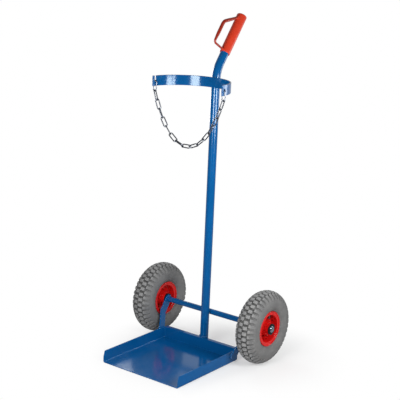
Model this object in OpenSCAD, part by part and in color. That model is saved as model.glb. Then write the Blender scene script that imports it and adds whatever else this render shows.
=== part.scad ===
// Gas cylinder trolley: a folded foot tray, one bent upright with a guarded grip, a half ring with
// a safety chain, and two air-filled wheels on a fixed axle.
// Millimetres, +Z up, front towards -Y, origin at the middle of the tray's underside.

/* [Foot tray] */
// Width over the side walls
tray_w = 330; // [280:5:380]
// Depth from the open front edge to the back of the rear wall
tray_d = 335; // [280:5:400]
// Height of the three walls
tray_h = 42; // [36:1:60]
// Sheet thickness of the tray
tray_sheet = 3; // [2:0.5:4]
// Inside radius of the folds along both sides
fold_r = 3; // [2:0.5:5]
// How far the front ends of the side walls lean back at the top
wall_rake = 6; // [2:1:15]
// Free space between the rear wall and the upright
upright_gap = 7; // [6:1:20]
// How far the rear lip reaches around the upright
lip_wrap = 5; // [2:1:10]

/* [Upright] */
// Outside diameter of the upright tube
tube_d = 30; // [26:0.5:33]
// Wall thickness of the upright tube
tube_wall = 2; // [1.5:0.1:4]
// Height of the lower end of the tube
tube_foot = 15; // [8:1:30]
// Height at which the tube starts to bend back
bend_z = 964; // [955:1:1100]
// Centre line radius of the bend
bend_r = 108; // [60:1:140]
// Run of the leaning handle towards the back, for the rise below
lean_run = 30; // [20:1:40]
// Rise of the leaning handle, for the run above
lean_rise = 40; // [35:1:60]
// Gap that a weld closes between two round faces
weld_gap = 0.1; // [0.05:0.05:0.3]

/* [Grip] */
// Outside diameter of the grip
grip_d = 36; // [34:0.5:42]
// Length of the grip
grip_len = 155; // [130:1:200]
// Bare tube between the bend and the grip
grip_start = 36; // [20:1:90]
// Thickness of the closed upper end of the grip
grip_end = 5; // [3:0.5:10]
// Rounding of the upper end of the grip
grip_round = 3; // [1:0.5:10]
// Slack between the tube and the grip
grip_fit = 0.05; // [0.02:0.01:0.1]
// Distance of the hand guard from the middle of the grip
guard_out = 75; // [60:1:100]
// Rod diameter of the hand guard
guard_rod = 12; // [9:0.5:14]
// Rod diameter of the guard's lower leg and of its lower corner
guard_leg = 7.5; // [6:0.5:9]
// Rod diameter where the guard's upper leg meets the grip
guard_top = 9; // [7:0.5:12]
// How far the lower corner of the guard reaches below the grip
guard_drop = 4; // [0:1:20]
// Height of the lower leg's root above the end of the grip
guard_root = 5; // [5:1:20]
// Straight front length of the guard above the lower end of the grip
guard_straight = 69; // [40:1:80]
// Centre line radius of the guard's upper bend
guard_bend = 25; // [15:1:40]
// Turn of the guard's upper bend
guard_turn = 46; // [42:1:60]

/* [Half ring] */
// Inside diameter of the half ring
ring_d = 284; // [240:2:320]
// Thickness of the strip
ring_t = 5; // [4:0.5:6]
// Height of the strip
ring_h = 35; // [28:1:50]
// Height of the middle of the strip
ring_z = 962.5; // [900:0.5:965]
// Distance of the chain holes from the ends of the strip
hole_inset = 12; // [10:0.5:20]
// Diameter of the chain hole and width of the chain slot
hole_d = 9; // [8.5:0.5:12]
// Strip left below the chain hole and the chain slot
hole_floor = 14; // [8:0.5:16]

/* [Chain] */
// Wire diameter of the links
wire_d = 4; // [3.5:0.1:4.2]
// Inside length of a link
link_len = 32; // [28:0.5:40]
// Outside width of a link
link_w = 16; // [15.5:0.1:18]
// Number of links, an odd number
link_count = 17; // [15:2:19]
// Slack between two hanging links
link_slack = 0.3; // [0.2:0.05:0.5]
// Gap between the end links and the strip that carries them
seat_slack = 0.4; // [0.3:0.05:0.6]
// Twist of the middle of the chain about its own run
chain_twist = -45; // [-60:5:60]

/* [Axle] */
// Diameter of the axle
axle_d = 20; // [16:0.5:24]
// Distance between the middle planes of the wheels
track = 464; // [450:1:560]
// Thickness of the washers beside the hubs
washer_t = 2.5; // [1.5:0.5:4]
// Diameter of the washers beside the hubs
washer_d = 40; // [36:1:46]
// Free play between a hub and each washer
hub_play = 0.5; // [0.3:0.1:1]
// Slack of the washers and caps on the axle
axle_fit = 0.04; // [0.02:0.01:0.08]
// Wall of the cap pressed on each end of the axle
cap_wall = 1.5; // [1:0.25:4]
// Depth to which the axle enters the cap
cap_depth = 2.5; // [2:0.5:5]
// Rise of the cap's dome
cap_rise = 3; // [2:0.5:5]

/* [Struts] */
// Width of the flat bar
strut_w = 32; // [24:1:36]
// Thickness of the flat bar
strut_t = 5; // [4:0.5:6]
// Distance of the lower strut end in front of the tray's back
strut_toe = 30; // [6:1:40]
// Height of the lower end of the strut at its middle
strut_foot = 16; // [16:1:24]
// Straight length of the strut at the axle, above its upper bend
strut_upper = 50; // [24:1:56]
// Straight length of the strut along the tray, below its lower bend
strut_lower = 28; // [24:1:34]

/* [Wheels] */
// Outside diameter of the tyre
wheel_d = 260; // [230:5:280]
// Width of the tyre
tyre_w = 84; // [80:1:92]
// Radius of the tyre's sides
side_r = 34; // [32:0.5:35]
// Thickness of the tyre's wall
tyre_wall = 6.5; // [5:0.5:8]
// Radius of the tread across the tyre
crown_r = 46; // [42:1:80]
// Width of the tread
tread_w = 70; // [62:1:72]
// Depth of the grooves between the tread blocks
groove_depth = 6; // [3:0.5:7]
// Width of the cross grooves
groove_w = 8; // [5:0.5:9]
// Width of the running grooves
ring_groove_w = 3.5; // [2:0.5:5]
// Number of tread blocks in one row
block_count = 40; // [24:1:44]
// Diameter of the bead seat of the rim
seat_d = 102; // [101:1:106]
// Inside width between the rim flanges
flange_gap = 54.6; // [50:0.2:60]
// Diameter of the rim flanges
flange_d = 125; // [118:1:130]
// Sheet thickness of the rim
rim_sheet = 2; // [1.5:0.1:2.5]
// Radius between the disc and the seat of the rim
rim_fillet = 3; // [1:0.5:3]
// Radius of the rolled rim edge
roll_r = 2.2; // [2:0.1:3]
// Slack between the rim and the tyre
bead_slack = 0.3; // [0.2:0.05:0.5]
// Wall thickness of the inner tube
inner_tube_wall = 2; // [1:0.25:3]
// Diameter of the bolt circle
bolt_circle = 78; // [74:1:79]
// Number of rim bolts
bolt_count = 4; // [3:1:6]
// Diameter of the rim bolts
bolt_d = 8; // [6:1:8]
// Slack around the rim bolts
bolt_slack = 0.2; // [0.1:0.05:0.3]

/* [Hubs] */
// Length of the hub
hub_len = 70; // [60:1:80]
// Outside diameter of the hub
hub_d = 40; // [39:0.5:44]
// Diameter of the bearing rollers
roller_d = 6; // [5:0.1:6.2]
// Number of rollers in one bearing
roller_count = 9; // [6:1:10]
// Length of the bearing rollers
roller_len = 26; // [18:1:27]
// Running gap on both sides of the rollers
roller_gap = 0.05; // [0.03:0.01:0.08]

/* [Valve] */
// Diameter of the valve stem
valve_d = 8; // [6:0.5:9]
// Distance of the valve from the middle plane of the wheel
valve_u = 11; // [9:0.5:11]
// Length of the valve stem
valve_len = 27; // [22:1:29]
// Diameter of the valve cap
valve_cap_d = 10; // [8:0.5:11]
// Turn of the valve from the top towards the back
valve_angle = 34; // [0:1:180]

/* [Hidden] */
$fn = 96;
over = 1;

rear_y = tray_d / 2;
tube_y = rear_y + upright_gap + tube_d / 2;
axle_y = tube_y + tube_d / 2 + weld_gap + axle_d / 2;
wheel_r = wheel_d / 2;

bend_angle = atan(lean_run / lean_rise);
handle_len = grip_start + grip_len - grip_end - grip_fit;
guard_bury = 4;

ring_ro = ring_d / 2 + ring_t;
ring_rm = ring_d / 2 + ring_t / 2;
ring_y = tube_y - tube_d / 2 - weld_gap - ring_ro;
hole_angle = hole_inset / ring_rm * 180 / PI;
hole_bottom = ring_z - ring_h / 2 + hole_floor;
hole_z = hole_bottom + hole_d / 2;

// The end links stand astride the strip; their bows rest on the strip's two edges.
bow_r = (link_w - wire_d) / 2;
bow_in = bow_r - wire_d / 2;
link_straight = link_len - 2 * bow_in;
astride = ring_t / 2 + hole_d / 2 * tan(hole_angle);
bow_drop = bow_r - sqrt(bow_in * bow_in - astride * astride);
pivot_x = ring_rm * cos(hole_angle);
pivot_y = ring_y + ring_rm * sin(hole_angle);
pivot_z = hole_bottom + bow_drop + seat_slack;

// The links between the two end links hang in equilibrium: the slope grows by the same step from
// one link to the next, and the step is found so that the links just span the ring.
step = link_len - link_slack;
hang_count = link_count - 2;
hang_z = pivot_z - wire_d / 2 - link_len + link_slack / 2;
function total(v, i = 0) = i < len(v) ? v[i] + total(v, i + 1) : 0;
function slope(k, grow) = atan(grow * (k - (hang_count - 1) / 2));
function span(grow) = step * total([for (k = [0 : hang_count - 1]) cos(slope(k, grow))]);
function halve(lo, hi, n) = let (mid = (lo + hi) / 2)
    n == 0 ? mid : span(mid) > 2 * pivot_x ? halve(mid, hi, n - 1) : halve(lo, mid, n - 1);
slope_step = halve(0.01, 5, 40);
function hang_x(j) = -pivot_x + step * total([for (k = [0 : 1 : j - 1]) cos(slope(k, slope_step))]);
function hang_sink(j) = hang_z + step * total([for (k = [0 : 1 : j - 1]) sin(slope(k, slope_step))]);
function link_roll(i) = 90 * i + chain_twist * sin(180 * (i - 1) / (link_count - 1));

strut_out = track / 2 - hub_len / 2 - hub_play - washer_t;
strut_y = axle_y - rear_y + strut_toe;
strut_drop = wheel_r - strut_foot;
strut_len = norm([strut_y, strut_drop]);
strut_lean = atan(strut_y / strut_drop);
strut_shift = strut_out - strut_t - tray_w / 2;
strut_bend = atan(strut_shift / (strut_len - strut_upper - strut_lower));
strut_past = 4;

// Section of the tyre: two side circles that make the carcass, and the tread's circle that stands a
// groove depth above them. Cross grooves cut a little into the carcass.
side_u = tyre_w / 2 - side_r;
side_mid = wheel_r - groove_depth - side_r;
crown_mid = wheel_r - crown_r;
bead_r = seat_d / 2 + bead_slack;
bead_u = flange_gap / 2 - bead_slack;
bead_w = 10;
row_edge = (tread_w / 2 + ring_groove_w / 2) / 2;
block_step = 360 / block_count;
groove_cut = 1;
function tread_r(u) = crown_mid + sqrt(crown_r * crown_r - u * u);
function carcass_r(u) = side_mid + sqrt(side_r * side_r - pow(max(0, u - side_u), 2));

hub_r = hub_d / 2;
roller_mid = axle_d / 2 + roller_gap + roller_d / 2;
hub_bore = roller_mid + roller_d / 2 + roller_gap;
cage_len = roller_len + 4;
pocket_gap = 0.15;
head_h = 5.3;
nut_h = 6.5;
hex_r = bolt_d * 0.93;
hex_turn = 30;
bolt_past = 2;
bolt_phase = 180 - valve_angle + 180 / bolt_count;
cone_r = bolt_circle / 2 - hex_r - rim_sheet - 1;
collar_len = 5;
collar_inset = 16;
collar_u = hub_len / 2 - collar_inset;
thread_gap = 0.02;
valve_core_d = valve_d * 0.65;
cap_screw = 7;
cap_top = 2;
valve_top = side_mid - sqrt(pow(side_r - tyre_wall, 2) - pow(valve_u - side_u, 2)) - 0.2;
axle_half = track / 2 + hub_len / 2 + hub_play + washer_t + cap_depth;
cap_r = axle_d / 2 + axle_fit + cap_wall;
dome_r = (cap_r * cap_r + cap_rise * cap_rise) / (2 * cap_rise);

sides = ["left", "right"];
wheel_parts = ["tyre", "inner_tube", "outer_rim", "inner_rim", "rim_bolts", "rim_nuts", "hub",
    "bearing_cages", "bearing_rollers", "valve_stem", "valve_cap"];
side_parts = ["axle_strut", "inner_washer", "outer_washer", "axle_cap"];

module blue() { color([0.05, 0.20, 0.55]) children(); }
module red() { color([0.80, 0.05, 0.05]) children(); }
module zinc() { color([0.72, 0.73, 0.75]) children(); }
module black() { color([0.08, 0.08, 0.09]) children(); }
module grey() { color([0.42, 0.42, 0.42]) children(); }

// Moves a part drawn along the upper, straight end of the tube to its leaning place.
module at_handle() {
    translate([0, tube_y, bend_z])
        translate([0, bend_r * (1 - cos(bend_angle)), bend_r * sin(bend_angle)])
        rotate([-bend_angle, 0, 0]) children();
}

// Moves a part drawn around Z, outer side up, to the wheel of one side.
module at_wheel(side) {
    translate([side * track / 2, axle_y, wheel_r]) rotate([0, 90 * side, 0]) children();
}

// Sweeps a section around a bend that starts at the origin along Z and turns towards +Y.
module bend_towards_back(radius, angle) {
    translate([0, radius, 0]) rotate([90, 0, -90])
        rotate_extrude(angle = angle) translate([radius, 0]) children();
}

// Foot tray: one sheet, both sides folded up, the rear wall set between them with a lip that
// reaches back to the upright.
module tray_fill(inset) {
    r = fold_r + tray_sheet - inset;
    half = tray_w / 2 - inset;
    top = tray_h + (inset > 0 ? over : 0);
    translate([-half, inset + r]) square([2 * half, top - inset - r]);
    translate([r - half, inset]) square([2 * (half - r), 2 * r]);
    for (s = [-1, 1]) translate([s * (half - r), inset + r]) circle(r = r);
}

module foot_tray() {
    lip_w = tray_w - 2 * tray_sheet;
    blue() difference() {
        union() {
            translate([0, rear_y, 0]) rotate([90, 0, 0]) linear_extrude(tray_d) tray_fill(0);
            translate([-lip_w / 2, rear_y - tray_sheet, tray_h - tray_sheet])
                cube([lip_w, tray_sheet + upright_gap + lip_wrap, tray_sheet]);
        }
        translate([0, rear_y - tray_sheet, 0]) rotate([90, 0, 0])
            linear_extrude(tray_d) tray_fill(tray_sheet);
        translate([0, tube_y, 0]) cylinder(d = tube_d + 2 * weld_gap, h = tray_h + over);
        translate([-tray_w / 2 - over, -rear_y, tray_h]) rotate([90, 0, 90])
            linear_extrude(tray_w + 2 * over)
            polygon([[-over, over], [wall_rake, over], [wall_rake, 0],
                [0, -tray_h / 2], [-over, -tray_h / 2]]);
    }
}

// Upright: one tube, straight up from the tray, bent back towards the hand.
module tube_ring() {
    difference() {
        circle(d = tube_d);
        circle(d = tube_d - 2 * tube_wall);
    }
}

module upright_tube() {
    blue() {
        translate([0, tube_y, tube_foot]) linear_extrude(bend_z - tube_foot) tube_ring();
        translate([0, tube_y, bend_z]) bend_towards_back(bend_r, bend_angle) tube_ring();
        at_handle() linear_extrude(handle_len) tube_ring();
    }
}

// Axle: a solid bar from cap to cap.
module axle_bar() {
    blue() translate([-axle_half, axle_y, wheel_r]) rotate([0, 90, 0])
        cylinder(d = axle_d, h = 2 * axle_half);
}

// Grip: moulded sleeve with a closed end and a rod guard in front of the fingers.
module grip_body() {
    r = grip_d / 2;
    rotate_extrude() intersection() {
        square([r, grip_len]);
        union() {
            square([r, grip_len - grip_round]);
            square([r - grip_round, grip_len]);
            translate([r - grip_round, grip_len - grip_round]) circle(r = grip_round);
        }
    }
}

module guard() {
    rod_r = guard_rod / 2;
    root = grip_d / 2 - guard_bury;
    bend_y = guard_bend * (1 - cos(guard_turn));
    top_len = (guard_out - root - bend_y) / sin(guard_turn);
    low_len = norm([guard_out - root, guard_drop + guard_root]);
    low_turn = atan((guard_drop + guard_root) / (guard_out - root));
    translate([0, -guard_out, -guard_drop]) {
        sphere(d = guard_leg);
        cylinder(d1 = guard_leg, d2 = guard_rod, h = guard_straight + guard_drop);
        rotate([low_turn - 90, 0, 0]) cylinder(d = guard_leg, h = low_len);
        translate([0, 0, guard_straight + guard_drop]) {
            bend_towards_back(guard_bend, guard_turn) circle(r = rod_r);
            translate([0, bend_y, guard_bend * sin(guard_turn)]) rotate([-guard_turn, 0, 0])
                cylinder(r1 = rod_r, r2 = guard_top / 2, h = top_len);
        }
    }
}

module hand_grip() {
    color([0.90, 0.20, 0.06]) at_handle() translate([0, 0, grip_start]) difference() {
        union() {
            grip_body();
            guard();
        }
        translate([0, 0, -over])
            cylinder(r = tube_d / 2 + grip_fit, h = grip_len - grip_end + over);
    }
}

// Half ring: flat strip rolled to a half circle, open slot at the left end, hole at the right end.
module retaining_ring() {
    blue() translate([0, ring_y, ring_z]) difference() {
        translate([0, 0, -ring_h / 2]) rotate_extrude(angle = 180)
            translate([ring_d / 2, 0]) square([ring_t, ring_h]);
        for (s = [-1, 1]) translate([s * pivot_x, pivot_y - ring_y, hole_z - ring_z]) {
            rotate([0, 90, 0]) cylinder(d = hole_d, h = 4 * ring_t, center = true);
            if (s < 0)
                translate([-2 * ring_t, -hole_d / 2, 0]) cube([4 * ring_t, hole_d, ring_h]);
        }
    }
}

// Chain link: two half bows and two straight sides, drawn along X.
module chain_link() {
    for (s = [-1, 1]) {
        translate([s * link_straight / 2, 0, 0]) rotate([0, 0, -90 * s])
            rotate_extrude(angle = 180) translate([bow_r, 0]) circle(d = wire_d);
        translate([0, s * bow_r, 0]) rotate([0, 90, 0])
            cylinder(d = wire_d, h = link_straight, center = true);
    }
}

module hung_link(i) {
    is_end = i == 1 || i == link_count;
    k = i - 2;
    x = is_end ? (i == 1 ? -pivot_x : pivot_x) : (hang_x(k) + hang_x(k + 1)) / 2;
    z = is_end ? pivot_z - wire_d / 2 - link_len / 2 : (hang_sink(k) + hang_sink(k + 1)) / 2;
    zinc() translate([x, pivot_y, z]) rotate([0, is_end ? 90 : -slope(k, slope_step), 0])
        rotate([link_roll(i), 0, 0]) chain_link();
}

// Strut: flat bar with two bends, from the side wall of the tray out and up to the axle.
module axle_strut(side) {
    ease = strut_t * tan(strut_bend / 2);
    ramp = strut_len - strut_lower;
    toe = strut_len + strut_past;
    inner = [[strut_out - strut_t, -strut_w / 2], [strut_out - strut_t, strut_upper],
        [tray_w / 2, ramp], [tray_w / 2, toe]];
    outer = [[tray_w / 2 + strut_t, toe], [tray_w / 2 + strut_t, ramp + ease],
        [strut_out, strut_upper + ease], [strut_out, -strut_w / 2]];
    blue() translate([0, axle_y, wheel_r]) rotate([-90 - strut_lean, 0, 0])
        mirror([side < 0 ? 1 : 0, 0, 0]) difference() {
            intersection() {
                translate([0, 0, -strut_w / 2]) linear_extrude(strut_w) polygon(concat(inner, outer));
                union() {
                    rotate([0, 90, 0]) cylinder(d = strut_w, h = track);
                    translate([0, 0, -strut_w / 2]) cube([track, toe, strut_w]);
                }
            }
            rotate([0, 90, 0]) cylinder(d = axle_d + 2 * axle_fit, h = track);
        }
}

// Washers and caps that keep the wheel on the axle.
module washer() {
    difference() {
        cylinder(d = washer_d, h = washer_t);
        translate([0, 0, -over]) cylinder(d = axle_d + 2 * axle_fit, h = washer_t + 2 * over);
    }
}

module inner_washer(side) {
    black() at_wheel(side) translate([0, 0, -hub_len / 2 - hub_play - washer_t]) washer();
}

module outer_washer(side) {
    black() at_wheel(side) translate([0, 0, hub_len / 2 + hub_play]) washer();
}

module axle_cap(side) {
    zinc() at_wheel(side) translate([0, 0, hub_len / 2 + hub_play + washer_t]) difference() {
        intersection() {
            cylinder(r = cap_r, h = cap_depth + cap_rise);
            translate([0, 0, cap_depth + cap_rise - dome_r]) sphere(r = dome_r);
        }
        translate([0, 0, -over]) cylinder(d = axle_d + 2 * axle_fit, h = cap_depth + axle_fit + over);
    }
}

// Tyre: round all over, the tread cut into four rows of staggered blocks.
module tyre_fill(shrink) {
    r = side_r - shrink;
    for (s = [-1, 1]) translate([side_mid, s * side_u]) circle(r = r);
    translate([side_mid - r, -side_u]) square([2 * r, 2 * side_u]);
}

module tyre_section() {
    difference() {
        union() {
            tyre_fill(0);
            intersection() {
                translate([crown_mid, 0]) circle(r = crown_r);
                translate([side_mid, -tread_w / 2]) square([crown_r, tread_w]);
            }
            for (s = [-1, 1])
                translate([bead_r, s > 0 ? bead_u - bead_w : -bead_u])
                    square([side_mid - side_r - bead_r + bead_w, bead_w]);
        }
        tyre_fill(tyre_wall);
        translate([bead_r - over, bead_w - bead_u])
            square([side_mid - bead_r, 2 * (bead_u - bead_w)]);
        for (u = [-row_edge, 0, row_edge])
            translate([tread_r(u) - groove_depth + groove_cut, u - ring_groove_w / 2])
                square([2 * groove_depth, ring_groove_w]);
    }
}

// Cross groove of the row of blocks between two distances from the middle plane; its floor is straight
// and runs on past the outer one.
module cross_groove(from, to, past) {
    fall = (carcass_r(from) - carcass_r(to)) / (to - from);
    rotate([90, 0, 0]) linear_extrude(groove_w, center = true)
        polygon([[carcass_r(from) - groove_cut, from],
            [carcass_r(to) - groove_cut - fall * past, to + past],
            [wheel_r + over, to + past], [wheel_r + over, from]]);
}

module tyre(side) {
    grey() at_wheel(side) difference() {
        rotate_extrude() tyre_section();
        for (i = [0 : block_count - 1]) for (s = [0, 1]) mirror([0, 0, s]) {
            rotate([0, 0, block_step * (i + s / 2)]) cross_groove(0, row_edge, 0);
            rotate([0, 0, block_step * (i + 0.5 + s / 2)])
                cross_groove(row_edge, tread_w / 2, 2 * over);
        }
    }
}

module inner_tube(side) {
    black() at_wheel(side) rotate_extrude() difference() {
        tyre_fill(tyre_wall + bead_slack);
        tyre_fill(tyre_wall + bead_slack + inner_tube_wall);
    }
}

// Rim: two pressed halves, bolted face to face, each with a cone that grips the hub.
module rim_section() {
    seat_r = seat_d / 2;
    flange_u = flange_gap / 2;
    dish_r = seat_r - rim_sheet;
    translate([cone_r, 0]) square([seat_r - cone_r, rim_sheet]);
    translate([dish_r, 0]) square([rim_sheet, flange_u]);
    translate([dish_r - rim_fillet, rim_sheet]) difference() {
        square(rim_fillet);
        translate([0, rim_fillet]) circle(r = rim_fillet);
    }
    translate([dish_r, flange_u]) intersection() {
        square(rim_sheet);
        translate([rim_sheet, 0]) circle(r = rim_sheet);
    }
    translate([seat_r, flange_u]) square([flange_d / 2 - roll_r - seat_r, rim_sheet]);
    translate([flange_d / 2 - roll_r, flange_u + roll_r]) circle(r = roll_r);
    polygon([[cone_r, 0], [cone_r + rim_sheet, rim_sheet], [hub_r + rim_sheet, collar_u],
        [hub_r + rim_sheet, collar_u + collar_len], [hub_r + thread_gap, collar_u + collar_len],
        [hub_r + thread_gap, collar_u - rim_sheet / 2]]);
}

module rim_half() {
    difference() {
        rotate_extrude() rim_section();
        for (i = [0 : bolt_count - 1]) rotate([0, 0, bolt_phase + 360 / bolt_count * i])
            translate([bolt_circle / 2, 0, -over])
            cylinder(d = bolt_d + 2 * bolt_slack, h = rim_sheet + 2 * over);
    }
}

// Places a part drawn along Z at the valve: Z points from the tyre to the axle.
module at_valve() {
    rotate([0, 0, 180 - valve_angle]) translate([valve_top, 0, valve_u]) rotate([0, -90, 0]) children();
}

module outer_rim(side) {
    red() at_wheel(side) difference() {
        rim_half();
        at_valve() cylinder(d = valve_d + 2 * bolt_slack, h = valve_top - cone_r - 2 * rim_sheet);
    }
}

module inner_rim(side) {
    red() at_wheel(side) mirror([0, 0, 1]) rim_half();
}

module rim_bolts(side) {
    zinc() at_wheel(side) for (i = [0 : bolt_count - 1])
        rotate([0, 0, bolt_phase + 360 / bolt_count * i]) translate([bolt_circle / 2, 0, 0]) {
            translate([0, 0, rim_sheet]) rotate(hex_turn) cylinder(r = hex_r, h = head_h, $fn = 6);
            translate([0, 0, -rim_sheet - nut_h - bolt_past])
                cylinder(d = bolt_d, h = nut_h + 2 * rim_sheet + bolt_past);
        }
}

module rim_nuts(side) {
    zinc() at_wheel(side) for (i = [0 : bolt_count - 1])
        rotate([0, 0, bolt_phase + 360 / bolt_count * i])
            translate([bolt_circle / 2, 0, -rim_sheet - nut_h]) difference() {
                rotate(hex_turn) cylinder(r = hex_r, h = nut_h, $fn = 6);
                translate([0, 0, -over]) cylinder(d = bolt_d + 2 * thread_gap, h = nut_h + 2 * over);
            }
}

// Hub: a tube that runs on a roller bearing at each end.
module hub(side) {
    red() at_wheel(side) difference() {
        cylinder(r = hub_r, h = hub_len, center = true);
        cylinder(r = hub_bore, h = hub_len + over, center = true);
    }
}

module at_bearings() {
    for (s = [-1, 1]) translate([0, 0, s * (hub_len - cage_len) / 2]) children();
}

module bearing_cages(side) {
    black() at_wheel(side) at_bearings() difference() {
        cylinder(r = hub_bore - roller_d / 10, h = cage_len, center = true);
        cylinder(r = axle_d / 2 + roller_d / 10, h = cage_len + over, center = true);
        for (i = [0 : roller_count - 1]) rotate([0, 0, 360 / roller_count * i])
            translate([roller_mid, 0, 0])
            cylinder(d = roller_d + 2 * pocket_gap, h = roller_len + 2 * pocket_gap, center = true);
    }
}

module bearing_rollers(side) {
    zinc() at_wheel(side) at_bearings()
        for (i = [0 : roller_count - 1]) rotate([0, 0, 360 / roller_count * i])
            translate([roller_mid, 0, 0]) cylinder(d = roller_d, h = roller_len, center = true);
}

// Valve: rubber stem from the inner tube through the rim, with a screwed cap.
module valve_stem(side) {
    black() at_wheel(side) at_valve() {
        cylinder(d = valve_d, h = valve_len - cap_screw);
        cylinder(d = valve_core_d, h = valve_len);
    }
}

module valve_cap(side) {
    black() at_wheel(side) at_valve() translate([0, 0, valve_len - cap_screw]) difference() {
        cylinder(d = valve_cap_d, h = cap_screw + cap_top);
        translate([0, 0, -over])
            cylinder(d = valve_core_d + 2 * thread_gap, h = cap_screw + thread_gap + over);
    }
}

foot_tray();
upright_tube();
axle_bar();
hand_grip();
retaining_ring();
for (s = [0, 1]) {
    axle_strut(2 * s - 1);
    inner_washer(2 * s - 1);
    outer_washer(2 * s - 1);
    axle_cap(2 * s - 1);
    tyre(2 * s - 1);
    inner_tube(2 * s - 1);
    outer_rim(2 * s - 1);
    inner_rim(2 * s - 1);
    rim_bolts(2 * s - 1);
    rim_nuts(2 * s - 1);
    hub(2 * s - 1);
    bearing_cages(2 * s - 1);
    bearing_rollers(2 * s - 1);
    valve_stem(2 * s - 1);
    valve_cap(2 * s - 1);
}
for (i = [1 : link_count])
    hung_link(i);
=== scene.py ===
import bmesh
import bpy
import numpy as np
from mathutils import Matrix, Vector


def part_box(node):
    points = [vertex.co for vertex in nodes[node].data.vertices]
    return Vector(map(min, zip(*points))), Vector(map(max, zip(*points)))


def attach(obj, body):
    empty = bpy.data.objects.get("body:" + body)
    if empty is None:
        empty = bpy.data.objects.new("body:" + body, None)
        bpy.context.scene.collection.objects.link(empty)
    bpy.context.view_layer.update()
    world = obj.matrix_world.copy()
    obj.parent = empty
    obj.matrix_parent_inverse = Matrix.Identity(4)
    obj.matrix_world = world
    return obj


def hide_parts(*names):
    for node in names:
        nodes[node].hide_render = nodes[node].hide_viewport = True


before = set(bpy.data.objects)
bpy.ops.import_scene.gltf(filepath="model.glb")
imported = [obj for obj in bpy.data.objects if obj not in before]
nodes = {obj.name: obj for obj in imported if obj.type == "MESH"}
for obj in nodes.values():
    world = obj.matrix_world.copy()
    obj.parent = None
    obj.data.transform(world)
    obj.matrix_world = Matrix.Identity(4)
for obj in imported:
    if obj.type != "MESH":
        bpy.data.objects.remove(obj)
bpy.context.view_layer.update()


# Camera: a long lens that sees the trolley from its right front and a little from above, tilted by
# a few degrees. Angles in degrees, lengths in metres.
view_azimuth, view_rise, view_tilt = np.radians([36.8, 13.7, 2.5])
view_target = np.array([0.005, 0.1224, 0.5597])
view_distance = 3.6404
towards_camera = np.array([np.sin(view_azimuth) * np.cos(view_rise),
                           -np.cos(view_azimuth) * np.cos(view_rise), np.sin(view_rise)])
level_right = np.array([np.cos(view_azimuth), np.sin(view_azimuth), 0.0])
level_up = np.cross(towards_camera, level_right)
image_right = np.cos(view_tilt) * level_right + np.sin(view_tilt) * level_up
image_up = np.cos(view_tilt) * level_up - np.sin(view_tilt) * level_right
lens = bpy.data.cameras.new("camera")
lens.sensor_width = 36.0
lens.lens = 95.0
lens.clip_end = 50.0
camera = bpy.data.objects.new("camera", lens)
bpy.context.scene.collection.objects.link(camera)
turn = Matrix((image_right, image_up, towards_camera)).transposed().to_4x4()
camera.matrix_world = Matrix.Translation(Vector(view_target + towards_camera * view_distance)) @ turn
bpy.context.scene.camera = camera
bpy.context.scene.view_settings.view_transform = "Standard"


# Studio: a white floor disc that fades into white surroundings, a soft box on each side of the
# camera, two weak ones behind, and even light from all round. The room behind the camera is dark, so
# that paint and zinc keep their depth.
def link(tree, source, target):
    """Joins an output socket to an input socket."""
    tree.links.new(source, target)


def add(tree, kind, **settings):
    """Adds a shader node of one kind and sets its plain properties."""
    made = tree.nodes.new(kind)
    for key, value in settings.items():
        setattr(made, key, value)
    return made


def larger(tree, first, second):
    """The larger of two values."""
    made = add(tree, "ShaderNodeMath", operation="MAXIMUM")
    link(tree, first, made.inputs[0])
    link(tree, second, made.inputs[1])
    return made.outputs[0]


def background_rays(tree):
    """Two outputs: 1 for straight camera rays, and 1 for rays that show a background in a mirror or
    through glass."""
    path = add(tree, "ShaderNodeLightPath")
    return path.outputs["Is Camera Ray"], larger(tree, path.outputs["Is Glossy Ray"],
                                                 path.outputs["Is Transmission Ray"])


def ramp(tree, source, low, high, start, stop, smooth=False):
    """Maps a value between start and stop to the range from low to high."""
    made = add(tree, "ShaderNodeMapRange", interpolation_type="SMOOTHSTEP" if smooth else "LINEAR")
    link(tree, source, made.inputs["Value"])
    for socket, value in (("From Min", start), ("From Max", stop), ("To Min", low), ("To Max", high)):
        made.inputs[socket].default_value = value
    return made.outputs["Result"]


def room_in_mirrors(tree, place, pale, behind, beside):
    """Brightness of the surroundings in mirrors: pale behind the trolley, dark on the camera's side. The
    change runs between two depths of the place along the camera's level direction."""
    depth = add(tree, "ShaderNodeVectorMath", operation="DOT_PRODUCT")
    link(tree, place, depth.inputs[0])
    depth.inputs[1].default_value = (np.sin(view_azimuth), -np.cos(view_azimuth), 0.0)
    return ramp(tree, depth.outputs["Value"], pale, dark_room, behind, beside, smooth=True)


even_light, pale_room, pale_floor, dark_room = 0.25, 0.6, 0.30, 0.04
room_behind, room_beside, floor_behind, floor_beside = -0.80, -0.10, -0.10, 0.50
world = bpy.data.worlds.new("studio")
world.use_nodes = True
bpy.context.scene.world = world
tree = world.node_tree
tree.nodes.clear()
straight, mirrored = background_rays(tree)
where = add(tree, "ShaderNodeTexCoord")
level = add(tree, "ShaderNodeMix", data_type="FLOAT")
link(tree, mirrored, level.inputs["Factor"])
level.inputs["A"].default_value = even_light
link(tree, room_in_mirrors(tree, where.outputs["Generated"], pale_room, room_behind, room_beside),
     level.inputs["B"])
sky = add(tree, "ShaderNodeBackground")
sky.inputs["Color"].default_value = (1.0, 1.0, 1.0, 1.0)
link(tree, larger(tree, level.outputs["Result"], straight), sky.inputs["Strength"])
link(tree, sky.outputs[0], add(tree, "ShaderNodeOutputWorld").inputs["Surface"])

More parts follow.
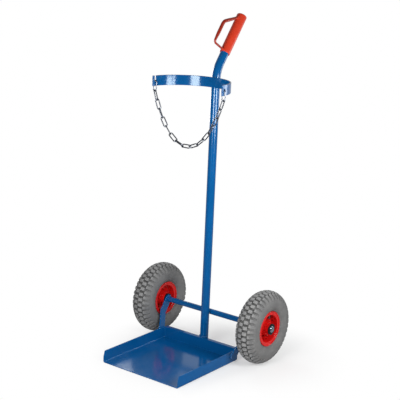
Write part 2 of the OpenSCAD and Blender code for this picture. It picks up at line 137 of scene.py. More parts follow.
floor_radius, floor_middle, floor_sides, floor_drop = 2.0, (0.10, 0.14), 96, 0.0004
white_share, white_from, white_to = 0.38, 0.20, 0.48
around = np.linspace(0, 2 * np.pi, floor_sides, endpoint=False)
floor_points = np.stack([floor_middle[0] + floor_radius * np.cos(around),
                         floor_middle[1] + floor_radius * np.sin(around),
                         np.full(floor_sides, -floor_drop)], axis=1)
floor_mesh = bpy.data.meshes.new("floor")
floor_mesh.from_pydata(floor_points.tolist(), [], [list(range(floor_sides))])
floor = bpy.data.objects.new("floor", floor_mesh)
bpy.context.scene.collection.objects.link(floor)
floor_paper = bpy.data.materials.new("floor_paper")
floor_paper.use_nodes = True
tree = floor_paper.node_tree
tree.nodes.clear()
straight, mirrored = background_rays(tree)
where = add(tree, "ShaderNodeTexCoord")
shift = add(tree, "ShaderNodeMapping")
shift.inputs["Location"].default_value = (-floor_middle[0], -floor_middle[1], 0.0)
link(tree, where.outputs["Object"], shift.inputs["Vector"])
reach = add(tree, "ShaderNodeVectorMath", operation="LENGTH")
link(tree, shift.outputs["Vector"], reach.inputs[0])
paper_seen = add(tree, "ShaderNodeMath", operation="MULTIPLY")
link(tree, ramp(tree, reach.outputs["Value"], white_share, 1.0, white_from, white_to, smooth=True),
     paper_seen.inputs[0])
link(tree, straight, paper_seen.inputs[1])
matt = add(tree, "ShaderNodeBsdfDiffuse")
matt.inputs["Color"].default_value = (0.90, 0.90, 0.90, 1.0)
glow = add(tree, "ShaderNodeEmission")
floor_in_mirrors = room_in_mirrors(tree, shift.outputs["Vector"], pale_floor, floor_behind, floor_beside)
link(tree, larger(tree, straight, floor_in_mirrors), glow.inputs["Strength"])
mixed = add(tree, "ShaderNodeMixShader")
link(tree, larger(tree, paper_seen.outputs[0], mirrored), mixed.inputs["Fac"])
link(tree, matt.outputs[0], mixed.inputs[1])
link(tree, glow.outputs[0], mixed.inputs[2])
link(tree, mixed.outputs[0], add(tree, "ShaderNodeOutputMaterial").inputs["Surface"])
floor_mesh.materials.append(floor_paper)


lamp_reach, lamp_height, lamp_y, lamp_aim = 1.2, 0.83, 0.05, (0.0, 0.12, 0.70)


def soft_box(name, azimuth, width, tall, watts):
    """A rectangular lamp at an azimuth round the trolley, facing its middle."""
    lamp = bpy.data.lights.new(name, "AREA")
    lamp.shape = "RECTANGLE"
    lamp.size = width
    lamp.size_y = tall
    lamp.energy = watts
    held = bpy.data.objects.new(name, lamp)
    bpy.context.scene.collection.objects.link(held)
    angle = np.radians(azimuth)
    place = Vector((lamp_reach * np.sin(angle), lamp_y - lamp_reach * np.cos(angle), lamp_height))
    aim = Vector(lamp_aim) - place
    held.matrix_world = Matrix.Translation(place) @ aim.to_track_quat("-Z", "Y").to_matrix().to_4x4()
    held.visible_camera = False


soft_box("soft_box_right", 83.0, 0.52, 0.54, 12.0)
soft_box("soft_box_front", 13.0, 0.52, 0.54, 12.0)
soft_box("soft_box_back", 150.0, 0.45, 0.40, 2.4)
soft_box("soft_box_rear", 235.0, 0.45, 0.40, 4.0)


# Foot tray: one steel sheet with both sides folded up, the rear wall and its lip set in between and
# welded at the corners. The whole frame is powder-coated blue; the cut edges are broken by hand.
def paint(name, color, roughness, metallic=0.0):
    """A new material with one Principled shader; returns the material, its tree and the shader."""
    made = bpy.data.materials.new(name)
    made.use_nodes = True
    shader = made.node_tree.nodes["Principled BSDF"]
    shader.inputs["Base Color"].default_value = (*color, 1.0)
    shader.inputs["Roughness"].default_value = roughness
    shader.inputs["Metallic"].default_value = metallic
    return made, made.node_tree, shader


def cloud(tree, waves, detail=3.0):
    """Noise on the piece's own coordinates; waves to the metre."""
    where = add(tree, "ShaderNodeTexCoord")
    made = add(tree, "ShaderNodeTexNoise")
    link(tree, where.outputs["Object"], made.inputs["Vector"])
    made.inputs["Scale"].default_value = waves
    made.inputs["Detail"].default_value = detail
    return made.outputs["Fac"]


cloud_low, cloud_high = 0.3, 0.7


def two_tone(tree, pattern, first, second):
    """Colour that goes from the first to the second with the middle range of a noise pattern."""
    made = add(tree, "ShaderNodeMix", data_type="RGBA")
    link(tree, ramp(tree, pattern, 0.0, 1.0, cloud_low, cloud_high), made.inputs["Factor"])
    made.inputs["A"].default_value = (*first, 1.0)
    made.inputs["B"].default_value = (*second, 1.0)
    return made.outputs["Result"]


def uneven_gloss(tree, shader, waves, low, high):
    """Roughness that drifts between two values over the piece."""
    link(tree, ramp(tree, cloud(tree, waves), low, high, cloud_low, cloud_high), shader.inputs["Roughness"])


def relief(tree, shader, height, depth, strength):
    """Joins a height pattern to the shader's normal; depth in metres."""
    made = add(tree, "ShaderNodeBump")
    link(tree, height, made.inputs["Height"])
    made.inputs["Distance"].default_value = depth
    made.inputs["Strength"].default_value = strength
    link(tree, made.outputs["Normal"], shader.inputs["Normal"])


blue_paint, tree, shader = paint("blue_paint", (0.001, 0.087, 0.275), 0.12)
link(tree, two_tone(tree, cloud(tree, 7.0), (0.001, 0.083, 0.262), (0.002, 0.092, 0.290)),
     shader.inputs["Base Color"])
uneven_gloss(tree, shader, 22.0, 0.12, 0.16)
relief(tree, shader, cloud(tree, 420.0, 1.0), 0.0004, 0.05)
shader.inputs["IOR"].default_value = 1.6
shader.inputs["Specular Tint"].default_value = (0.80, 0.95, 1.0, 1.0)


def settle(piece, material, body, slot, *replaced):
    """Gives a piece its material and the body it rides on, and hides the nodes it stands for; the slot is
    not used.
    """
    piece.data.materials.append(material)
    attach(piece, body)
    if replaced:
        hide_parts(*replaced)


def coat(node, material):
    """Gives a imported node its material."""
    nodes[node].data.materials.clear()
    nodes[node].data.materials.append(material)


def eased_copy(name, node, edge):
    """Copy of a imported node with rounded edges: equal points merged, flat triangles joined to whole
    faces, and every edge sharper than 35 degrees rounded to the given radius."""
    source = nodes[node].data
    points = np.empty(3 * len(source.vertices))
    source.vertices.foreach_get("co", points)
    corners = np.empty(len(source.loops), dtype=np.int32)
    source.loops.foreach_get("vertex_index", corners)
    merged, back = np.unique(points.reshape(-1, 3).round(6), axis=0, return_inverse=True)
    triangles = back.reshape(-1)[corners].reshape(-1, 3)
    whole = (np.diff(np.sort(triangles, axis=1), axis=1) > 0).all(axis=1)
    mesh = bpy.data.meshes.new(name)
    mesh.from_pydata(merged.tolist(), [], triangles[whole].tolist())
    shape = bmesh.new()
    shape.from_mesh(mesh)
    bmesh.ops.dissolve_limit(shape, angle_limit=np.radians(0.5), verts=shape.verts, edges=shape.edges)
    shape.to_mesh(mesh)
    shape.free()
    mesh.shade_smooth()
    piece = bpy.data.objects.new(name, mesh)
    bpy.context.scene.collection.objects.link(piece)
    bevel = piece.modifiers.new("edges", "BEVEL")
    bevel.width = edge
    bevel.segments = 3
    bevel.limit_method = "ANGLE"
    bevel.angle_limit = np.radians(35)
    bevel.use_clamp_overlap = False
    piece.modifiers.new("shading", "WEIGHTED_NORMAL")
    return piece


def shell(rings, looped=False):
    """Closed skin over a row of rings, an array of ring, point and coordinate: quads between
    neighbours, and either the last ring joined to the first or a fan to a middle point at each end."""
    count, sides = rings.shape[:2]
    here = np.arange(count * sides).reshape(count, sides)
    beside = np.roll(here, -1, axis=1)
    quads = np.stack([here, beside, np.roll(beside, -1, axis=0), np.roll(here, -1, axis=0)], axis=-1)
    points = rings.reshape(-1, 3)
    if looped:
        return points, quads.reshape(-1, 4).tolist()
    tips = np.stack([rings[0].mean(axis=0), rings[-1].mean(axis=0)])
    first = np.stack([np.full(sides, count * sides), beside[0], here[0]], axis=-1)
    last = np.stack([np.full(sides, count * sides + 1), here[-1], beside[-1]], axis=-1)
    faces = quads[:-1].reshape(-1, 4).tolist() + first.tolist() + last.tolist()
    return np.concatenate([points, tips]), faces


def skin(name, shells, crease=40):
    """Object made of closed shells, smooth but for edges sharper than the crease angle."""
    points, faces, start = [], [], 0
    for shell_points, shell_faces in shells:
        points.append(shell_points)
        faces += [[corner + start for corner in face] for face in shell_faces]
        start += len(shell_points)
    mesh = bpy.data.meshes.new(name)
    mesh.from_pydata(np.concatenate(points).tolist(), [], faces)
    mesh.shade_smooth()
    mesh.set_sharp_from_angle(angle=np.radians(crease))
    piece = bpy.data.objects.new(name, mesh)
    bpy.context.scene.collection.objects.link(piece)
    return piece


def rod(path, radius, across, sides, looped=False):
    """Rings of a round rod along a path that lies in one plane, or close to it: each ring is
    centre + radius * (cos a * side + sin a * across), with side square to the run and to across."""
    across = np.asarray(across, dtype=float)
    run = (np.roll(path, -1, axis=0) - np.roll(path, 1, axis=0)) if looped else np.gradient(path, axis=0)
    side = np.cross(across, run)
    side /= np.linalg.norm(side, axis=1, keepdims=True)
    angle = np.linspace(0, 2 * np.pi, sides, endpoint=False)[None, :, None]
    spoke = np.cos(angle) * side[:, None, :] + np.sin(angle) * across
    return path[:, None, :] + np.broadcast_to(radius, len(path))[:, None, None] * spoke


scale_length, bead_step, bead_sides = 0.0026, 0.0005, 10


def weld(corners, size, across, looped=False):
    """Bead of weld along a line through the corners: a rod whose radius rises and falls by a sixth
    with every scale, and rounds off to almost nothing at both ends."""
    corners = np.asarray(corners, dtype=float)
    if looped:
        corners = np.concatenate([corners, corners[:1]])
    at = np.concatenate([[0.0], np.cumsum(np.linalg.norm(np.diff(corners, axis=0), axis=1))])
    length = at[-1]
    along = np.linspace(0, length, max(24, int(length / bead_step)), endpoint=not looped)
    path = np.stack([np.interp(along, at, corners[:, axis]) for axis in range(3)], axis=1)
    scales = max(1, round(length / scale_length))
    radius = size * (0.92 + 0.16 * np.abs(np.sin(np.pi * scales * along / length)))
    if not looped:
        ends = np.clip(np.minimum(along, length - along) / size, 0.0, 1.0)
        radius = radius * np.sqrt(np.clip(1 - (1 - ends) ** 2, 0.02, 1.0))
    return shell(rod(path, radius, across, bead_sides, looped), looped)


sheet, lip_depth, sheet_edge = 0.003, 0.012, 0.0008
bead_proud, corner_bead, corner_from, corner_to = 0.0006, 0.0022, 0.006, 0.004
tray_low, tray_high = (np.array(corner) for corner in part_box("foot_tray"))
tray = eased_copy("tray_sheet", "foot_tray", sheet_edge)
settle(tray, blue_paint, "frame", "blue_paint", "foot_tray")
wall_back = tray_high[1] - lip_depth
corner_x, corner_y = tray_high[0] - sheet - bead_proud, wall_back - sheet - bead_proud
corner_welds = [weld([[side * corner_x, corner_y, tray_low[2] + corner_from],
                      [side * corner_x, corner_y, tray_high[2] - corner_to]],
                     corner_bead, (1.0, 0.0, 0.0)) for side in (-1, 1)]
settle(skin("tray_welds", corner_welds), blue_paint, "frame", "blue_paint")


# Upright: one round steel tube, bent back at the top, welded into the notch of the tray's lip.
# The bead follows the notch around the front half of the tube.
coat("upright_tube", blue_paint)
tube_low, tube_high = (np.array(corner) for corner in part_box("upright_tube"))
tube_radius = tube_high[0]
tube_y = tube_low[1] + tube_radius
notch_gap, notch_bead, notch_points = 0.0008, 0.0024, 40
notch = np.radians(np.linspace(192, 348, notch_points))
notch_radius = tube_radius + notch_gap
notch_line = np.stack([notch_radius * np.cos(notch), tube_y + notch_radius * np.sin(notch),
                       np.full(notch_points, tray_high[2] + bead_proud)], axis=1)
notch_weld = skin("upright_weld", [weld(notch_line, notch_bead, (0.0, 0.0, 1.0))])
settle(notch_weld, blue_paint, "frame", "blue_paint")


# Axle and struts: a solid bar welded behind the upright, and two flat bars with two bends each that
# tie it to the tray's sides. Each strut sits on the axle with a welded hole.
coat("axle_bar", blue_paint)
axle_low, axle_high = (np.array(corner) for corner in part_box("axle_bar"))
axle_y, axle_z = (axle_low[1] + axle_high[1]) / 2, (axle_low[2] + axle_high[2]) / 2
axle_radius = (axle_high[2] - axle_low[2]) / 2
saddle_gap, saddle_bead, saddle_points = 0.0022, 0.0024, 48
saddle = np.linspace(0, 2 * np.pi, saddle_points, endpoint=False)
saddle_x = np.sqrt(2 * tube_radius * saddle_gap) * np.cos(saddle)
saddle_z = np.sqrt(2 * axle_radius * saddle_gap) * np.sin(saddle)
saddle_y = tube_y + tube_radius + (saddle_z ** 2 / axle_radius - saddle_x ** 2 / tube_radius) / 4
saddle_line = np.stack([saddle_x, saddle_y, axle_z + saddle_z], axis=1)
axle_welds = [weld(saddle_line, saddle_bead, (0.0, 1.0, 0.0), True)]
strut_thick, strut_wide, strut_toe, strut_foot, strut_edge = 0.005, 0.032, 0.030, 0.016, 0.0010
hole_gap, hole_bead = 0.0010, 0.0022
toe_gap, toe_bead, toe_above, toe_below = 0.0008, 0.0020, 0.020, 0.002
for side, name in ((-1, "left"), (1, "right")):
    strut = eased_copy(f"{name}_strut_bar", f"{name}_axle_strut", strut_edge)
    settle(strut, blue_paint, "frame", "blue_paint", f"{name}_axle_strut")
    strut_low, strut_high = (np.array(corner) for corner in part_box(f"{name}_axle_strut"))
    inner_face = (strut_high[0] if side > 0 else -strut_low[0]) - strut_thick
    hole_radius = axle_radius + hole_gap
    hole_line = np.stack([np.full(saddle_points, side * (inner_face - bead_proud)),
                          axle_y + hole_radius * np.cos(saddle),
                          axle_z + hole_radius * np.sin(saddle)], axis=1)
    axle_welds.append(weld(hole_line, hole_bead, (1.0, 0.0, 0.0), True))
    foot_y, foot_z = wall_back - strut_toe, strut_foot
    lean = np.arctan2(axle_y - foot_y, axle_z - foot_z)
    down = np.array([0.0, -np.sin(lean), -np.cos(lean)])
    back = np.array([0.0, np.cos(lean), -np.sin(lean)])
    foot = np.array([side * (tray_high[0] + toe_gap), foot_y, foot_z])
    to_edge = (strut_wide / 2 + bead_proud) * back
    axle_welds += [weld([foot - toe_above * down + edge * to_edge,
                         foot + toe_below * down + edge * to_edge],
                        toe_bead, (1.0, 0.0, 0.0)) for edge in (-1, 1)]
settle(skin("axle_welds", axle_welds), blue_paint, "frame", "blue_paint")


# Half ring: flat steel strip rolled to a half circle, with an open slot for the chain at the left
# end and a hole at the right end, welded to the front of the upright on both sides.
ring_low, ring_high = (np.array(corner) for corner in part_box("retaining_ring"))
strip_edge, seam_x, seam_bead, seam_from, seam_to = 0.0009, 0.0084, 0.0022, 0.001, 0.024
strip = eased_copy("half_ring_strip", "retaining_ring", strip_edge)
settle(strip, blue_paint, "frame", "blue_paint", "retaining_ring")
seam_y = ring_high[1] + seam_x ** 2 / (4 * tube_radius)
ring_welds = [weld([[side * seam_x, seam_y, ring_low[2] + seam_from],
                    [side * seam_x, seam_y, ring_low[2] + seam_to]],
                   seam_bead, (1.0, 0.0, 0.0)) for side in (-1, 1)]
settle(skin("half_ring_welds", ring_welds), blue_paint, "frame", "blue_paint")


# Grip: a plastic sleeve with a closed flat end, pushed on the upright, and a hand guard moulded on in
# front of the fingers. The guard is thin below, thick in front, and flares where it meets the sleeve.
lean_back = np.arctan2(3.0, 4.0)
bend_height, bend_radius, bare_length = 0.964, 0.108, 0.036
grip_radius, grip_length, bore_length, end_round = 0.018, 0.155, 0.150, 0.003
bore_fit, pole = 0.00005, 0.0004
bore_radius = tube_radius + bore_fit
grip_up = np.array([0.0, np.sin(lean_back), np.cos(lean_back)])
grip_back = np.array([0.0, np.cos(lean_back), -np.sin(lean_back)])
grip_foot = np.array([0.0, tube_y + bend_radius * (1 - np.cos(lean_back)),
                      bend_height + bend_radius * np.sin(lean_back)]) + bare_length * grip_up


def on_grip(back, up, right=0.0):
    """Places in the grip's own frame: towards the back, up along the grip, and to the right."""
    return (grip_foot + np.multiply.outer(back, grip_back) + np.multiply.outer(up, grip_up)
            + np.multiply.outer(right, np.array([1.0, 0.0, 0.0])))


def arc(middle_r, middle_z, radius, start, stop, count):
    """Points of a circle in the plane of radius and height, from one angle to another in degrees."""
    angle = np.radians(np.linspace(start, stop, count))
    return np.stack([middle_r + radius * np.cos(angle), middle_z + radius * np.sin(angle)], axis=1)


mouth_round, sleeve_rows, sleeve_sides = 0.0012, 24, 72
sleeve_low, sleeve_high = 0.006, grip_length - end_round - 0.003
sleeve_profile = np.concatenate([
    [[pole, bore_length], [bore_radius, bore_length], [bore_radius, bore_length - 0.002]],
    [[bore_radius, 0.0], [grip_radius - mouth_round, 0.0]],
    arc(grip_radius - mouth_round, mouth_round, mouth_round, -75, 0, 6),
    np.stack([np.full(sleeve_rows, grip_radius),
              np.linspace(sleeve_low, sleeve_high, sleeve_rows)], axis=1),
    arc(grip_radius - end_round, grip_length - end_round, end_round, 0, 90, 9),
    [[grip_radius / 2, grip_length], [pole, grip_length]]])
spin = np.linspace(0, 2 * np.pi, sleeve_sides, endpoint=False)
sleeve_r, sleeve_up = sleeve_profile[:, :1], np.repeat(sleeve_profile[:, 1:], sleeve_sides, axis=1)
sleeve_rings = on_grip(sleeve_r * np.sin(spin), sleeve_up, sleeve_r * np.cos(spin))


def rounded_line(corners, radii, count=18):
    """Line through corners in a plane, each inner corner replaced by an arc of its own radius: the arc
    starts radius * tan(turn / 2) before the corner."""
    corners = np.asarray(corners, dtype=float)
    pieces = [corners[:1]]
    for before, corner, after, radius in zip(corners, corners[1:], corners[2:], radii):
        come = (corner - before) / np.linalg.norm(corner - before)
        leave = (after - corner) / np.linalg.norm(after - corner)
        turn = np.arccos(np.clip(come @ leave, -1, 1))
        inward = (leave - come) / np.linalg.norm(leave - come)
        middle = corner + inward * radius / np.cos(turn / 2)
        swing = np.linspace(-turn / 2, turn / 2, count)[:, None]
        along = (come + leave) / np.linalg.norm(come + leave)
        pieces.append(middle + radius * (np.sin(swing) * along - np.cos(swing) * inward))
    return np.concatenate(pieces + [corners[-1:]])


guard_corners = [[-0.0165, 0.0047], [-0.075, -0.004], [-0.075, 0.0796], [-0.0165, 0.1361]]
guard_bends, guard_steps, guard_sides = [0.009, 0.025], 220, 24
low_flare, high_flare, flare_run, bore_clear = 0.0006, 0.0024, 0.004, 0.0008
outline = rounded_line(guard_corners, guard_bends)
at = np.concatenate([[0.0], np.cumsum(np.linalg.norm(np.diff(outline, axis=0), axis=1))])
along = np.linspace(0, at[-1], guard_steps)
guard_back, guard_up = np.interp(along, at, outline[:, 0]), np.interp(along, at, outline[:, 1])
thickness_at = [0.0, 0.055, 0.090, 0.165, at[-1]]
guard_radius = np.interp(along, thickness_at, [0.0036, 0.0038, 0.0060, 0.0060, 0.0044])
guard_flare = np.where(guard_up < grip_length / 2, low_flare, high_flare)
guard_radius = guard_radius + guard_flare * np.exp(-(-guard_back - grip_radius).clip(0) / flare_run)
guard_rings = rod(on_grip(guard_back, guard_up), guard_radius, (1.0, 0.0, 0.0), guard_sides)


def out_of_bore(rings):
    """Points that would reach into the grip's bore, moved straight out from its axis into the wall."""
    outward = rings - grip_foot
    outward = outward - (outward @ grip_up)[..., None] * grip_up
    apart = np.linalg.norm(outward, axis=-1, keepdims=True)
    return rings + outward * (np.maximum(apart, bore_radius + bore_clear) / apart - 1)


guard = skin("guard_rod", [shell(out_of_bore(guard_rings))])
grip = skin("grip_moulding", [shell(sleeve_rings)])
fuse = grip.modifiers.new("guard", "BOOLEAN")
fuse.operation = "UNION"
fuse.solver = "EXACT"
fuse.object = guard
fused = bpy.data.meshes.new_from_object(grip.evaluated_get(bpy.context.evaluated_depsgraph_get()))
grip.modifiers.clear()
grip.data = fused
sliver = 0.00001
shape = bmesh.new()
shape.from_mesh(fused)
bmesh.ops.remove_doubles(shape, verts=shape.verts, dist=sliver)
bmesh.ops.dissolve_degenerate(shape, edges=shape.edges, dist=sliver)
bmesh.ops.triangulate(shape, faces=[face for face in shape.faces if len(face.verts) > 4])
shape.to_mesh(fused)
shape.free()
fused.set_sharp_from_angle(angle=np.radians(40))
bpy.data.objects.remove(guard)
places = np.empty(3 * len(fused.vertices))
fused.vertices.foreach_get("co", places)
apart = np.linalg.norm(np.cross(places.reshape(-1, 3) - grip_foot, grip_up), axis=1)
fused.attributes.new("apart", "FLOAT", "POINT").data.foreach_set("value", apart)
grip_plastic, tree, shader = paint("grip_plastic", (0.64, 0.042, 0.013), 0.35)
# Painted shade: the guard part of the moulding is painted darker, down to half, the farther it lies from
# the grip's axis; the plastic itself is one colour.
axis_gap = add(tree, "ShaderNodeAttribute", attribute_name="apart")
tone = add(tree, "ShaderNodeMix", data_type="RGBA", blend_type="MULTIPLY")
tone.inputs["Factor"].default_value = 1.0
link(tree, two_tone(tree, cloud(tree, 60.0), (0.61, 0.039, 0.012), (0.67, 0.046, 0.015)),
     tone.inputs["A"])
guard_painted_shade, shade_from, shade_to = 0.50, 0.0185, 0.030
link(tree, ramp(tree, axis_gap.outputs["Fac"], 1.0, guard_painted_shade, shade_from, shade_to), tone.inputs["B"])
link(tree, tone.outputs["Result"], shader.inputs["Base Color"])
uneven_gloss(tree, shader, 90.0, 0.32, 0.44)
relief(tree, shader, cloud(tree, 1500.0, 2.0), 0.0002, 0.15)
settle(grip, grip_plastic, "frame", "grip_plastic", "hand_grip")


# Safety chain: seventeen long links bent from zinc-plated wire, each closed by a butt weld in the
# middle of one side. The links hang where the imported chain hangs.
wire_radius, bow_radius, half_straight, wire_sides, link_points = 0.002, 0.006, 0.012, 14, 112
butt_rise, butt_half = 0.13, 0.0013
lap = 4 * half_straight + 2 * np.pi * bow_radius
run = np.linspace(0, lap, link_points, endpoint=False)
side_end, bow_end = 2 * half_straight, 2 * half_straight + np.pi * bow_radius
swing_one = (run - side_end) / bow_radius
swing_two = (run - bow_end - side_end) / bow_radius
stretches = [run < side_end, run < bow_end, run < bow_end + side_end]
link_x = np.select(stretches, [run - half_straight, half_straight + bow_radius * np.sin(swing_one),
                               half_straight - (run - bow_end)],
                   -half_straight - bow_radius * np.sin(swing_two))
link_y = np.select(stretches, [np.full(link_points, -bow_radius), -bow_radius * np.cos(swing_one),
                               np.full(link_points, bow_radius)], bow_radius * np.cos(swing_two))
link_path = np.stack([link_x, link_y, np.zeros(link_points)], axis=1)
link_wire = wire_radius * (1 + butt_rise * np.exp(-((run - half_straight) / butt_half) ** 2))
link_rings = rod(link_path, link_wire, (0.0, 0.0, 1.0), wire_sides, True)
chain_zinc, tree, shader = paint("chain_zinc", (0.24, 0.26, 0.30), 0.32, 1.0)
link(tree, two_tone(tree, cloud(tree, 160.0), (0.18, 0.20, 0.24), (0.30, 0.32, 0.36)),
     shader.inputs["Base Color"])
uneven_gloss(tree, shader, 240.0, 0.26, 0.44)
relief(tree, shader, cloud(tree, 1800.0, 2.0), 0.0001, 0.2)
for number in range(1, 18):
    source = nodes[f"chain_link_{number}"].data
    points = np.empty(3 * len(source.vertices))
    source.vertices.foreach_get("co", points)
    points = points.reshape(-1, 3)
    middle = (points.min(axis=0) + points.max(axis=0)) / 2
    axes = np.linalg.svd(points - middle, full_matrices=False)[2]
    axes[2] = np.cross(axes[0], axes[1])
    wire = skin(f"link_wire_{number}", [shell(middle + link_rings @ axes, True)])
    settle(wire, chain_zinc, "chain", "chain_zinc", f"chain_link_{number}")


# Rims and hubs: two pressed steel dishes to a wheel, bolted face to face and painted red with the hub
# between them, bolts and nuts too. Rollers are bare steel; washers, cages, valves and tubes are black.
red_paint, tree, shader = paint("red_paint", (0.62, 0.008, 0.008), 0.15)
link(tree, two_tone(tree, cloud(tree, 25.0), (0.58, 0.007, 0.007), (0.66, 0.010, 0.009)),
     shader.inputs["Base Color"])
uneven_gloss(tree, shader, 40.0, 0.13, 0.22)
relief(tree, shader, cloud(tree, 420.0, 1.0), 0.0004, 0.05)
zinc_steel, tree, shader = paint("zinc_steel", (0.55, 0.68, 0.78), 0.20, 1.0)
link(tree, two_tone(tree, cloud(tree, 150.0), (0.50, 0.63, 0.73), (0.60, 0.73, 0.83)),
     shader.inputs["Base Color"])
uneven_gloss(tree, shader, 300.0, 0.18, 0.28)
black_plastic, tree, shader = paint("black_plastic", (0.005, 0.005, 0.009), 0.45)
link(tree, two_tone(tree, cloud(tree, 120.0), (0.004, 0.004, 0.007), (0.007, 0.007, 0.011)),
     shader.inputs["Base Color"])
uneven_gloss(tree, shader, 150.0, 0.38, 0.55)
for side in ("left", "right"):
    for finish, parts in ((red_paint, ("outer_rim", "inner_rim", "hub", "rim_bolts", "rim_nuts")),
                          (zinc_steel, ("bearing_rollers",)),
                          (black_plastic, ("inner_washer", "outer_washer", "bearing_cages", "valve_cap",
                                           "valve_stem", "inner_tube"))):
        for part in parts:
            coat(f"{side}_{part}", finish)


# Axle caps: thin steel cups with a domed end, drawn from sheet and zinc-plated. Each is pressed on an
# end of the axle and keeps the wheel and its washers in place.
def turned(foot, side, profile, sides):
    """Rings of a profile of radius and height, turned about the axle; the height runs outwards from the
    foot: x = foot + side * height, y and z = radius times the cosine and sine of the angle."""
    angle = np.linspace(0, 2 * np.pi, sides, endpoint=False)
    radius, height = profile[:, :1], np.repeat(profile[:, 1:], sides, axis=1)
    return np.stack([foot + side * height, axle_y + radius * np.cos(angle),
                     axle_z + side * radius * np.sin(angle)], axis=-1)


dome_rise, cap_turn, cap_fit, cap_depth, cap_sides = 0.003, 0.0024, 0.00004, 0.00254, 48
cap_bore = axle_radius + cap_fit
for side, name in ((-1, "left"), (1, "right")):
    low, high = (np.array(corner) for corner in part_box(f"{name}_axle_cap"))
    cap_radius, cap_length = (high[2] - low[2]) / 2, high[0] - low[0]
    dome_radius = (cap_radius ** 2 + dome_rise ** 2) / (2 * dome_rise)
    dome_middle = cap_length - dome_radius
    turn_r = cap_radius - cap_turn
    turn_z = dome_middle + np.sqrt((dome_radius - cap_turn) ** 2 - turn_r ** 2)
    lean = np.degrees(np.arctan2(turn_z - dome_middle, turn_r))
    cup = np.concatenate([[[pole, cap_depth], [cap_bore, cap_depth], [cap_bore, 0.0], [cap_radius, 0.0]],
                          arc(turn_r, turn_z, cap_turn, 0, lean, 7),
                          arc(0.0, dome_middle, dome_radius, lean, 89, 14)[1:]])
    foot = low[0] if side > 0 else high[0]
    cap = skin(f"{name}_cap_cup", [shell(turned(foot, side, cup, cap_sides))])
    settle(cap, zinc_steel, "frame", "zinc_steel", f"{name}_axle_cap")


# Tyres: grey rubber, moulded with four rows of staggered tread blocks, plain sides and a thin ring
# above the rim edge. They sit on the rims by their two beads.
carcass_radius, carcass_offset, carcass_height = 0.034, 0.008, 0.090
wheel_radius, crown_radius, tread_half, wall = 0.130, 0.046, 0.035, 0.0065
block_count, groove_half, groove_wall, groove_cut, ring_groove_half = 40, 0.19, 0.06, 0.0020, 0.0017
ring_groove_wall, edge_wall, ear_rise, ear_length, ear_wall = 0.0010, 0.0010, 0.0034, 0.0022, 0.0036
bead_u, bead_r, bead_w, heel_r, toe_r = 0.027, 0.0513, 0.010, 0.0605, 0.0640
side_ring_at, side_ring_half, side_ring_rise = 128, 2.6, 0.0009
shoulder_gap, edge_inset, shoulder_to, side_from, side_to, inner_from = 0.0008, 0.0004, 1.25, 76, 145.4, 160
wall_steps = np.array([0.0012, 0.0023, 0.0034])
row_edge = (tread_half + ring_groove_half) / 2
plain_side, outer_row_tone, calm_from, calm_wall = 0.32, 0.15, 0.007, 0.010


def carcass(u):
    """Radius of the tyre under its tread: two circles beside a flat middle."""
    return carcass_height + np.sqrt(carcass_radius ** 2 - (np.abs(u) - carcass_offset).clip(0) ** 2)


def rise(distance, edge, width):
    """Goes smoothly from 0 to 1 over a width about an edge."""
    step = np.clip((distance - edge) / width + 0.5, 0.0, 1.0)
    return step * step * (3 - 2 * step)


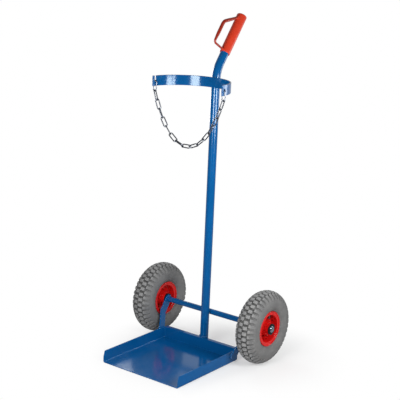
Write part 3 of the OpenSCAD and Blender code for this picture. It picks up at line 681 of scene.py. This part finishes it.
def tyre_rings(side, axle_x):
    """Rings of the tyre, one for each angle, and the tone of each point: an outer line from bead to bead
    over the tread, and an inner line back. Over the tread, radius = base + block * (crown - base), where
    block is 0 in a groove and 1 on a block. The outer blocks end in ears that run out down the sides.
    The angles are fractions of the pitch of the blocks, on both sides of each groove wall. The tone is 0
    in a groove and 1 on a block, and evens out over the outer rows to that of the plain side."""
    half_u = np.unique(np.concatenate([
        [0.0], wall_steps, np.linspace(0.006, row_edge - 0.004, 4),
        row_edge - wall_steps, row_edge + wall_steps,
        np.linspace(row_edge + 0.006, tread_half - 0.002, 5), [tread_half - 0.0012, tread_half - 0.0002]]))
    tread_u = np.concatenate([-half_u[:0:-1], half_u])
    shoulder = np.arcsin((tread_half + shoulder_gap - carcass_offset) / carcass_radius)
    flank = np.concatenate([np.linspace(shoulder, shoulder_to, 8),
                            np.radians(np.linspace(side_from, side_to, 19))])
    flank_u = carcass_offset + carcass_radius * np.sin(flank)
    flank_r = carcass_height + carcass_radius * np.cos(flank)
    side_ring = side_ring_rise * np.exp(-((np.degrees(flank) - side_ring_at) / side_ring_half) ** 2)
    flank_u = flank_u + side_ring * np.sin(flank)
    flank_r = flank_r + side_ring * np.cos(flank)
    inner = np.radians(np.linspace(inner_from, 0, 7))
    inner_u = carcass_offset + (carcass_radius - wall) * np.sin(inner)
    inner_r = carcass_height + (carcass_radius - wall) * np.cos(inner)
    back_u = np.concatenate([[bead_u, bead_u, bead_u - bead_w, bead_u - bead_w], inner_u])
    back_r = np.concatenate([[heel_r, bead_r, bead_r, toe_r], inner_r])
    u = np.concatenate([-flank_u[::-1], tread_u, flank_u, back_u, -back_u[::-1]])
    r = np.concatenate([flank_r[::-1], carcass(tread_u), flank_r, back_r, back_r[::-1]])
    on_tread = np.minimum(np.abs(u), tread_half)
    crown = wheel_radius - crown_radius + np.sqrt(crown_radius ** 2 - on_tread ** 2)
    outer = (np.arange(len(u)) < 2 * len(flank) + len(tread_u)) & (r > carcass_height)
    edge = np.array([groove_half - groove_wall / 2, groove_half + groove_wall / 2])
    quarter = np.concatenate([[0.0, edge[0] / 2], edge, [0.25], 0.5 - edge[::-1], [0.5 - edge[0] / 2]])
    steps = np.concatenate([quarter, quarter + 0.5])
    pitch = (np.arange(block_count)[:, None] + steps).reshape(-1, 1)
    angle = pitch * 2 * np.pi / block_count
    centre_row = np.abs(u) < row_edge
    apart = pitch - np.where(centre_row, 0.0, 0.5) - np.where(u < 0, 0.5, 0.0)
    block = rise(np.abs(apart - np.round(apart)), groove_half, groove_wall)
    for ring_groove in (-row_edge, 0.0, row_edge):
        block = block * rise(np.abs(u - ring_groove), ring_groove_half, ring_groove_wall)
    tread = (1 - rise(np.abs(u), tread_half - edge_inset, edge_wall)) * outer
    base = r - groove_cut * tread
    radius = base + block * tread * (crown - base).clip(0)
    fade = outer * (1 - tread) * (1 - rise(np.abs(u), tread_half + ear_length, ear_wall))
    ear = fade * (ear_rise * block - groove_cut)
    lean = np.arcsin(((np.abs(u) - carcass_offset) / carcass_radius).clip(0, 1))
    radius = radius + ear * np.cos(lean)
    width = u + np.sign(u) * ear * np.sin(lean)
    points = np.stack([axle_x + side * width, axle_y + radius * np.sin(angle),
                       axle_z - side * radius * np.cos(angle)], axis=-1)
    # Painted shading: the grooves are painted darker as painted shade and the block tops lighter as painted
    # light, calmer over the outer rows and even on the plain sides.
    contrast = tread * (1 - (1 - outer_row_tone) * rise(np.abs(u), row_edge + calm_from, calm_wall))
    tone = plain_side + (block - plain_side) * np.maximum(contrast, fade * outer_row_tone)
    return points[:, ::-1], tone[:, ::-1]


tyre_rubber, tree, shader = paint("tyre_rubber", (0.14, 0.14, 0.14), 0.75)
# The tread attribute paints shade into the grooves and light onto the block tops of the rubber.
groove_painted_shade, block_painted_light = 0.76, 1.85
painted_tread_shading = add(tree, "ShaderNodeAttribute", attribute_name="tread")
tinted = add(tree, "ShaderNodeMix", data_type="RGBA", blend_type="MULTIPLY")
tinted.inputs["Factor"].default_value = 1.0
link(tree, two_tone(tree, cloud(tree, 35.0, 4.0), (0.115, 0.116, 0.117), (0.155, 0.155, 0.153)),
     tinted.inputs["A"])
link(tree, ramp(tree, painted_tread_shading.outputs["Fac"], groove_painted_shade, block_painted_light, 0.0, 1.0), tinted.inputs["B"])
link(tree, tinted.outputs["Result"], shader.inputs["Base Color"])
uneven_gloss(tree, shader, 60.0, 0.65, 0.85)
relief(tree, shader, cloud(tree, 900.0), 0.0003, 0.25)
for side, name in ((-1, "left"), (1, "right")):
    low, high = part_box(f"{name}_tyre")
    rings, tone = tyre_rings(side, (low[0] + high[0]) / 2)
    tyre = skin(f"{name}_tyre_rubber", [shell(rings, True)])
    tyre.data.attributes.new("tread", "FLOAT", "POINT").data.foreach_set("value", tone.reshape(-1))
    settle(tyre, tyre_rubber, f"{name}_wheel", "tyre_rubber", f"{name}_tyre")
